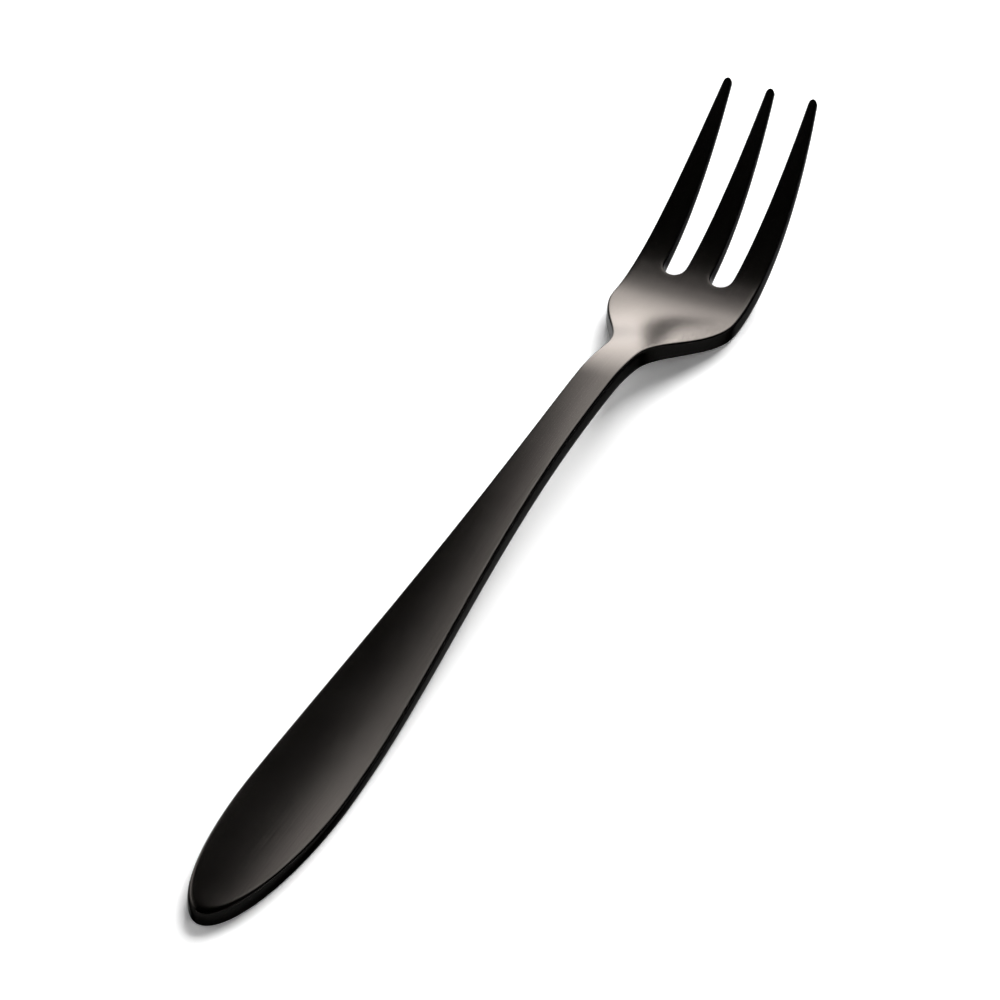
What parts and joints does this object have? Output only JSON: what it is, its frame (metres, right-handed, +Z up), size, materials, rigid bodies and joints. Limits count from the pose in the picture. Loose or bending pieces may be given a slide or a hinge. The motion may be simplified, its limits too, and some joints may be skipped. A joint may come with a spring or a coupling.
{
  "type": "oyster fork",
  "caption": "Small dark satin-brushed steel fork with a rounded flat handle, slim arched neck, dished head and upswept tapering tines for picking out shellfish.",
  "frame": {"origin": "middle of the bottom of the fork's box, on the surface that it lies on", "axes": "+Y along the fork towards its tines, +Z up out of the surface that it lies on, X across it"},
  "size_m": [0.0162, 0.1501, 0.017],
  "materials": {
    "dark_steel": "satin, dark gunmetal coating"
  },
  "bodies": {
    "root": {"handle": "dark_steel", "neck": "dark_steel", "head": "dark_steel", "left_tine": "dark_steel", "middle_tine": "dark_steel", "right_tine": "dark_steel"}
  },
  "joints": []
}
